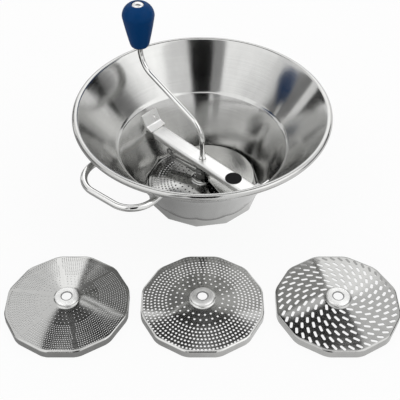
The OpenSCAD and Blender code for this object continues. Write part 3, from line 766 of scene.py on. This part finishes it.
def makePerforation():
    tree, start, end = newGeometry("perforation", [
        ("Pitch", "NodeSocketFloat", 0.003), ("Outer Radius", "NodeSocketFloat", 0.066),
        ("Dense To", "NodeSocketFloat", 0.035), ("Sparse Pitch", "NodeSocketFloat", 0.005),
        ("Inner Radius", "NodeSocketFloat", 0.017), ("Hole Width", "NodeSocketFloat", 0.0015),
        ("Hole Length", "NodeSocketFloat", 0.0015), ("Hole Turn", "NodeSocketFloat", 0.0),
        ("Hole Sides", "NodeSocketInt", 10), ("Band Width", "NodeSocketFloat", -1.0),
        ("Band Turn", "NodeSocketFloat", 0.0), ("Finish", "NodeSocketMaterial", None)])
    value = start.outputs
    bandHalf = calc(tree, "DIVIDE", value["Band Width"], 2.0)
    dense = ringPoints(tree, value["Pitch"], value["Outer Radius"], value["Dense To"], bandHalf,
                       value["Band Turn"])
    halfPitch = times(tree, value["Sparse Pitch"], 0.5)
    sparseFrom = minus(tree, value["Dense To"], halfPitch)
    sparse = ringPoints(tree, value["Sparse Pitch"], sparseFrom, value["Inner Radius"], bandHalf,
                        value["Band Turn"])
    both = addNode(tree, "GeometryNodeJoinGeometry")
    plug(tree, dense, both.inputs[0])
    plug(tree, sparse, both.inputs[0])
    punch = addNode(tree, "GeometryNodeMeshCylinder")
    plug(tree, value["Hole Sides"], punch.inputs["Vertices"])
    plug(tree, calc(tree, "DIVIDE", value["Hole Width"], 2.0), punch.inputs["Radius"])
    punch.inputs["Depth"].default_value = punchRule["depth"]
    # a slot is the hull of two round ends; a round hole has both in one place
    ends = addNode(tree, "GeometryNodeJoinGeometry")
    straight = minus(tree, value["Hole Length"], value["Hole Width"])
    for sign in (0.5, -0.5):
        move = addNode(tree, "GeometryNodeTransform")
        plug(tree, punch.outputs["Mesh"], move.inputs["Geometry"])
        plug(tree, joinPoint(tree, times(tree, straight, sign), 0.0, 0.0),
             move.inputs["Translation"])
        plug(tree, move.outputs[0], ends.inputs[0])
    hull = addNode(tree, "GeometryNodeConvexHull")
    plug(tree, ends.outputs[0], hull.inputs[0])
    x, y, _ = splitPoint(tree, addNode(tree, "GeometryNodeInputPosition").outputs[0])
    turn = plus(tree, calc(tree, "ARCTAN2", y, x), value["Hole Turn"])
    spread = addNode(tree, "GeometryNodeInstanceOnPoints")
    plug(tree, both.outputs[0], spread.inputs["Points"])
    plug(tree, hull.outputs[0], spread.inputs["Instance"])
    euler = addNode(tree, "FunctionNodeEulerToRotation")
    plug(tree, joinPoint(tree, 0.0, 0.0, turn), euler.inputs[0])
    plug(tree, euler.outputs[0], spread.inputs["Rotation"])
    solid = addNode(tree, "GeometryNodeRealizeInstances")
    plug(tree, spread.outputs[0], solid.inputs[0])
    cut = addNode(tree, "GeometryNodeMeshBoolean", operation="DIFFERENCE")
    cut.solver = "MANIFOLD"
    plug(tree, value["Geometry"], cut.inputs["Mesh 1"])
    plug(tree, solid.outputs[0], cut.inputs["Mesh 2"])
    endTree(tree, cut.outputs["Mesh"], value["Finish"], end)
    return tree


perforation = makePerforation()
looseTurn, looseRow, looseGap = 15.0, -196.0, 150.0
discDefaults = {"Outer Radius": 65 * mm, "Inner Radius": 18 * mm, "Hole Sides": 12}
discPatterns = {
    "installedSheet": {
        "node": "installed_disc", "body": "bowl", "place": (0, 0, 1.0), "turn": 24.0, "shade": 1.0,
        "Pitch": 4.1 * mm, "Sparse Pitch": 6.4 * mm, "Dense To": 39 * mm, "Hole Width": 2.4 * mm},
    "fineSheet": {
        "node": "fine_disc", "body": "fine_disc", "place": (-looseGap, looseRow, 0), "turn": looseTurn,
        "shade": 1.1, "Pitch": 2.4 * mm, "Sparse Pitch": 4.2 * mm, "Dense To": 35 * mm,
        "Hole Width": 1.3 * mm, "Hole Sides": 8, "Band Width": 3.8 * mm,
        "Band Turn": math.radians(45 - looseTurn)},
    "mediumSheet": {
        "node": "medium_disc", "body": "medium_disc", "place": (0, looseRow, 0), "turn": looseTurn,
        "shade": 1.3, "Pitch": 4.1 * mm, "Sparse Pitch": 6.4 * mm, "Dense To": 39 * mm,
        "Hole Width": 2.5 * mm},
    "coarseSheet": {
        "node": "coarse_disc", "body": "coarse_disc", "place": (looseGap, looseRow, 0),
        "turn": looseTurn, "shade": 0.9, "Pitch": 8.8 * mm, "Sparse Pitch": 8.8 * mm,
        "Dense To": 18.5 * mm, "Hole Width": 3.0 * mm, "Hole Length": 7.6 * mm,
        "Hole Turn": math.radians(48), "Hole Sides": 16, "Outer Radius": 63 * mm},
}

for name, pattern in discPatterns.items():
    across, along, _ = pattern["place"]
    # each disc's share brightens or darkens the same steel: painted light and shade, so the discs differ
    # in tone
    sheetMetal = metal(name + "Steel", "discSteel", (across * mm, along * mm, 0.0), pattern["shade"])
    blank = makeDiscBlank(name)
    values = {**discDefaults, "Hole Length": pattern["Hole Width"], **pattern, "Finish": sheetMetal}
    bakeNodes(blank, perforation, values, sharpAngle=30.0)
    turn = Matrix.Rotation(math.radians(pattern["turn"]), 4, "Z")
    blank.data.transform(Matrix.Translation(Vector(pattern["place"]) * mm) @ turn)
    placePiece(blank, pattern["body"], "disc_steel", pattern["node"])
    print(name, "faces:", len(blank.data.polygons))

# pressing blade: a helical sheet made by a rule
bladeShape = {"Inner Radius": 8.45 * mm, "Outer Radius": 65.0 * mm, "Start": math.radians(130),
              "Sweep": math.radians(192), "Rise": 14.0 * mm, "Lip Rise": 4.0 * mm, "Sheet": 1.5 * mm,
              "domeTop": 19.124 * mm, "domeSlope": -0.12374, "bossTop": 20.453 * mm,
              "bossEdge": 14.1 * mm, "bossSlope": -1.408, "lipFrom": 0.87, "hubShare": 0.45,
              "steps": (121, 41), "weld": 0.01 * mm}


def makeBladeTree():
    tree, start, end = newGeometry("helicalBlade", [
        ("Inner Radius", "NodeSocketFloat", 0.0085), ("Outer Radius", "NodeSocketFloat", 0.066),
        ("Start", "NodeSocketFloat", 2.27), ("Sweep", "NodeSocketFloat", 3.35),
        ("Rise", "NodeSocketFloat", 0.014), ("Lip Rise", "NodeSocketFloat", 0.004),
        ("Sheet", "NodeSocketFloat", 0.0015), ("Finish", "NodeSocketMaterial", None)])
    value, rule = start.outputs, bladeShape
    grid = addNode(tree, "GeometryNodeMeshGrid")
    grid.inputs["Size X"].default_value = 1.0
    grid.inputs["Size Y"].default_value = 1.0
    grid.inputs["Vertices X"].default_value, grid.inputs["Vertices Y"].default_value = rule["steps"]
    x, y, _ = splitPoint(tree, addNode(tree, "GeometryNodeInputPosition").outputs[0])
    along = plus(tree, x, 0.5)
    across = plus(tree, y, 0.5)
    width = minus(tree, value["Outer Radius"], value["Inner Radius"])
    radius = plus(tree, value["Inner Radius"], times(tree, across, width))
    angle = minus(tree, value["Start"], times(tree, along, value["Sweep"]))
    # the underside follows the disc's dome and steps over its boss
    dome = plus(tree, times(tree, radius, rule["domeSlope"]), rule["domeTop"])
    pastBoss = minus(tree, radius, rule["bossEdge"])
    bossSide = plus(tree, times(tree, pastBoss, rule["bossSlope"]), rule["bossTop"])
    step = calc(tree, "MINIMUM", bossSide, rule["bossTop"])
    foot = calc(tree, "MAXIMUM", dome, step)
    # it climbs to the lip, less near the hub, and the lip rises further
    lipFrom, hubShare = rule["lipFrom"], rule["hubShare"]
    climb = calc(tree, "MINIMUM", calc(tree, "DIVIDE", along, lipFrom), 1.0)
    share = plus(tree, times(tree, across, 1 - hubShare), hubShare)
    lift = times(tree, times(tree, value["Rise"], climb), share)
    pastLip = calc(tree, "DIVIDE", minus(tree, along, lipFrom), 1 - lipFrom)
    lip = times(tree, calc(tree, "MAXIMUM", pastLip, 0.0), times(tree, value["Lip Rise"], across))
    height = plus(tree, foot, plus(tree, lift, lip))
    shape = addNode(tree, "GeometryNodeSetPosition")
    plug(tree, grid.outputs["Mesh"], shape.inputs["Geometry"])
    plug(tree, polarPoint(tree, radius, angle, height), shape.inputs["Position"])
    thick = addNode(tree, "GeometryNodeExtrudeMesh", mode="FACES")
    plug(tree, shape.outputs[0], thick.inputs["Mesh"])
    plug(tree, joinPoint(tree, 0.0, 0.0, 1.0), thick.inputs["Offset"])
    plug(tree, value["Sheet"], thick.inputs["Offset Scale"])
    thick.inputs["Individual"].default_value = False
    under = addNode(tree, "GeometryNodeFlipFaces")
    plug(tree, shape.outputs[0], under.inputs[0])
    both = addNode(tree, "GeometryNodeJoinGeometry")
    plug(tree, thick.outputs["Mesh"], both.inputs[0])
    plug(tree, under.outputs[0], both.inputs[0])
    weld = addNode(tree, "GeometryNodeMergeByDistance")
    plug(tree, both.outputs[0], weld.inputs["Geometry"])
    weld.inputs["Distance"].default_value = rule["weld"]
    endTree(tree, weld.outputs[0], value["Finish"], end)
    return tree


blade = grownPiece("bladeSheet", makeBladeTree(), bladeShape, bladeSteel, sharpAngle=35.0)
placePiece(blade, "crank", "spun_steel", "pressing_blade")

# pressure spring
springShape = {"Turns": 5.0, "Closed Turns": 0.75, "Mean Radius": 7.3 * mm, "Wire": 1.8 * mm,
               "Foot": 31.4531 * mm, "Height": 14.0469 * mm, "steps": 40, "sides": 14}


def makeSpringTree():
    tree, start, end = newGeometry("coilSpring", [
        ("Turns", "NodeSocketFloat", 5.0), ("Closed Turns", "NodeSocketFloat", 0.75),
        ("Mean Radius", "NodeSocketFloat", 0.0073), ("Wire", "NodeSocketFloat", 0.0018),
        ("Foot", "NodeSocketFloat", 0.0), ("Height", "NodeSocketFloat", 0.014),
        ("Finish", "NodeSocketMaterial", None)])
    value = start.outputs
    coil = addNode(tree, "GeometryNodeCurveSpiral")
    coil.inputs["Resolution"].default_value = springShape["steps"]
    plug(tree, value["Turns"], coil.inputs["Rotations"])
    plug(tree, value["Mean Radius"], coil.inputs["Start Radius"])
    plug(tree, value["Mean Radius"], coil.inputs["End Radius"])
    plug(tree, value["Turns"], coil.inputs["Height"])
    x, y, z = splitPoint(tree, addNode(tree, "GeometryNodeInputPosition").outputs[0])
    working = minus(tree, value["Turns"], times(tree, value["Closed Turns"], 2.0))
    share = calc(tree, "DIVIDE", calc(tree, "SUBTRACT", z, value["Closed Turns"]), working, clamp=True)
    travel = minus(tree, value["Height"], value["Wire"])
    height = plus(tree, times(tree, share, travel),
                  plus(tree, value["Foot"], calc(tree, "DIVIDE", value["Wire"], 2.0)))
    shape = addNode(tree, "GeometryNodeSetPosition")
    plug(tree, coil.outputs[0], shape.inputs["Geometry"])
    plug(tree, joinPoint(tree, x, y, height), shape.inputs["Position"])
    wire = sweepRound(tree, shape.outputs[0], value["Wire"], springShape["sides"])
    endTree(tree, wire, value["Finish"], end)
    return tree


spring = grownPiece("springCoil", makeSpringTree(), springShape, shadeDarkSteel, sharpAngle=50.0)
placePiece(spring, "spring_seat", "spring_steel", "pressure_spring")
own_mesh(spring)

# clearing wire
wireShape = {"thickness": 2.2, "direction": 142.0, "height": 26.6531, "gap": 5.0, "length": 56.0,
             "foot": 6.3, "eye": 3.4, "eyeArc": (-90, 210, 20), "loop": 42.0, "loopArc": (90, -70, 10),
             "stops": (24.0, 30.0), "sides": 16}


def makeWire():
    shape = wireShape
    half, z = shape["gap"] / 2, shape["height"]
    shortStop, longStop = shape["stops"]
    loop = arcPoints((shape["loop"], 0.0), half, *shape["loopArc"])
    first = [(x, y, z) for x, y in [(shape["foot"], half), (shortStop, half), *loop]]
    second = [(shape["foot"], -half, z), (longStop, -half, z)]
    eye = arcPoints((shape["length"], z + shape["eye"]), shape["eye"], *shape["eyeArc"])
    second += [(x, -half, up) for x, up in eye]
    paths = [[turnPoint(point, shape["direction"]) for point in path] for path in (first, second)]
    return rodPiece("wireLoop", paths, shape["thickness"], shape["sides"], shadeDarkSteel)


placePiece(makeWire(), "crank", "polished_steel", "clearing_wire")
print("blade, spring and wire made")

# pieces that keep their solid
plainPieces = {
    "rear_lug": stripSteel, "front_lug": stripSteel, "bridge_bar": stripSteel,
    "bridge_bush": polishedSteel, "round_label": blackLabel, "upper_spring_washer": shadeDarkSteel,
    "lower_spring_washer": shadeDarkSteel, "blade_hub": shadeDarkSteel, "hub_pin": polishedSteel,
    "crank_collar": polishedSteel, "knob_stop_ring": polishedSteel, "knob_cap": polishedSteel,
}
for name, material in plainPieces.items():
    piece = cadNodes[name]
    piece.data.materials.clear()
    piece.data.materials.append(material)
    smoothMesh(piece.data, sharpAngle=30.0)

# floor, cards, lamps and camera
studio = {"floor": (0.93, 0.93, 0.93), "floorSide": 8000, "floorDrop": 0.0002, "floorRough": 0.8,
          "floorGlow": 0.92, "floorShine": 0.8, "floorSheen": (0.3, 1.0), "sheenFrom": -0.05,
          "sheenTo": 0.10, "darkTo": 0.052, "openFrom": 0.066, "cloud": 3.0, "cloudShade": 0.99,
          "ambient": 0.85, "sensor": 36.0, "lens": 77.6, "distance": 1.0738, "elevation": 40.67,
          "target": (0.0, 0.0, 0.06), "shift": (-0.006, -0.120), "cardRough": 0.9,
          "cardAim": (0, 0, 0.1), "lampAim": (0, 0, 0.05)}


def flatMaterial(name, colour, rough):
    material, tree, surface = newMaterial(name)
    place = objectPlace(tree)
    cloud = noise(tree, place, studio["cloud"], 2.0)
    plug(tree, mixColour(tree, cloud, shaded(colour, studio["cloudShade"]), (*colour, 1.0)),
         surface.inputs["Base Color"])
    surface.inputs["Roughness"].default_value = rough
    surface.inputs["Specular IOR Level"].default_value = 0.0
    return material


def flatSheet(name, width, height, material):
    across, along = width / 2, height / 2
    corners = [(-across, -along, 0), (across, -along, 0), (across, along, 0), (-across, along, 0)]
    return meshObject(name, corners, [(0, 1, 2, 3)], material)


def facing(centre, target, axis):
    return (Vector(target) - Vector(centre)).to_track_quat(axis, "Y").to_euler()


def card(name, centre, width, height, tone):
    paint = flatMaterial(name + "Paint", (tone, tone, tone), studio["cardRough"])
    made = flatSheet(name, width, height, paint)
    made.location = centre
    made.rotation_euler = facing(centre, studio["cardAim"], "Z")
    made.visible_camera = False


def floorMaterial(colour):
    # the camera sees mostly plain white, and reflections a glowing floor with painted shade that darkens
    # it to the left;
    # under the base it stays in shadow
    material = flatMaterial("floorPaint", colour, studio["floorRough"])
    tree = material.node_tree
    end = tree.nodes["Material Output"]
    glow = addNode(tree, "ShaderNodeEmission")
    mix = addNode(tree, "ShaderNodeMixShader")
    path = addNode(tree, "ShaderNodeLightPath")
    x, y, _ = splitPoint(tree, objectPlace(tree))
    openShare = mapValue(tree, reachOf(tree, x, y), studio["darkTo"], studio["openFrom"], 0.0, 1.0)
    sheen = mapValue(tree, x, studio["sheenFrom"], studio["sheenTo"], *studio["floorSheen"])
    seen = plus(tree, times(tree, path.outputs["Is Camera Ray"], studio["floorGlow"]),
                times(tree, path.outputs["Is Glossy Ray"], studio["floorShine"]))
    plug(tree, calc(tree, "MAXIMUM", path.outputs["Is Camera Ray"], sheen), glow.inputs["Strength"])
    plug(tree, times(tree, seen, openShare), mix.inputs[0])
    plug(tree, tree.nodes["Principled BSDF"].outputs[0], mix.inputs[1])
    plug(tree, glow.outputs[0], mix.inputs[2])
    plug(tree, mix.outputs[0], end.inputs["Surface"])
    return material


floor = flatSheet("floor", studio["floorSide"], studio["floorSide"], floorMaterial(studio["floor"]))
floor.location = (0, 0, -studio["floorDrop"])
cards = {
    "cameraCard": ((0.02, -0.98, 0.90), 450, 1300, 0.005),
    "leftPatch": ((-0.918, 0.910, 0.40), 330, 340, 0.01),
    "rightPatch": ((1.055, 0.652, 0.57), 330, 340, 0.01),
    "sideCardRight": ((1.45, 0.25, 0.45), 1000, 700, 0.30),
    "sideCardLeft": ((-1.45, 0.25, 0.45), 1000, 700, 0.30),
    "softCard": ((-0.33, -0.92, 0.90), 200, 1200, 0.5),
    "highCard": ((0.0, 0.406, 1.28), 1080, 330, 0.01),
    "rearBand": ((0.0, 1.7, 0.12), 1900, 200, 0.08),
}
for name, (centre, width, height, tone) in cards.items():
    card(name, centre, width, height, tone)


def lamp(name, centre, size, power):
    data = bpy.data.lights.new(name, "AREA")
    data.shape = "RECTANGLE"
    data.size, data.size_y = size
    data.energy = power
    made = linked(name, data)
    made.location = centre
    made.rotation_euler = facing(centre, studio["lampAim"], "-Z")


lamps = {
    "keyLamp": ((-0.7, -0.5, 1.5), (1.3, 1.3), 1.8),
    "fillLamp": ((0.9, -0.3, 1.3), (1.1, 1.1), 2.4),
    "backLamp": ((0.1, 1.2, 1.0), (1.4, 0.6), 1.5),
}
for name, (centre, size, power) in lamps.items():
    lamp(name, centre, size, power)


def makeWorld():
    world = bpy.data.worlds.new("studioWorld")
    bpy.context.scene.world = world
    world.use_nodes = True
    tree = world.node_tree
    tree.nodes.clear()
    end = addNode(tree, "ShaderNodeOutputWorld")
    path = addNode(tree, "ShaderNodeLightPath")
    through = calc(tree, "MAXIMUM", path.outputs["Is Glossy Ray"], path.outputs["Is Transmission Ray"])
    mix = addNode(tree, "ShaderNodeMixShader")
    plug(tree, calc(tree, "MAXIMUM", path.outputs["Is Camera Ray"], through), mix.inputs[0])
    # the soft light for what isn't seen, then plain white for what is
    for slotIndex, strength in ((1, studio["ambient"]), (2, 1.0)):
        backdrop = addNode(tree, "ShaderNodeBackground")
        backdrop.inputs["Color"].default_value = (1, 1, 1, 1)
        backdrop.inputs["Strength"].default_value = strength
        plug(tree, backdrop.outputs[0], mix.inputs[slotIndex])
    plug(tree, mix.outputs[0], end.inputs["Surface"])


makeWorld()

view = bpy.data.cameras.new("studioCamera")
view.lens = studio["lens"]
view.sensor_width = studio["sensor"]
view.shift_x, view.shift_y = studio["shift"]
camera = linked("studioCamera", view)
rise = math.radians(studio["elevation"])
aim = Vector(studio["target"])
camera.location = aim + studio["distance"] * Vector((0, -math.cos(rise), math.sin(rise)))
camera.rotation_euler = facing(camera.location, aim, "-Z")
bpy.context.scene.camera = camera
bpy.context.scene.view_settings.view_transform = "Standard"
print("studio made")
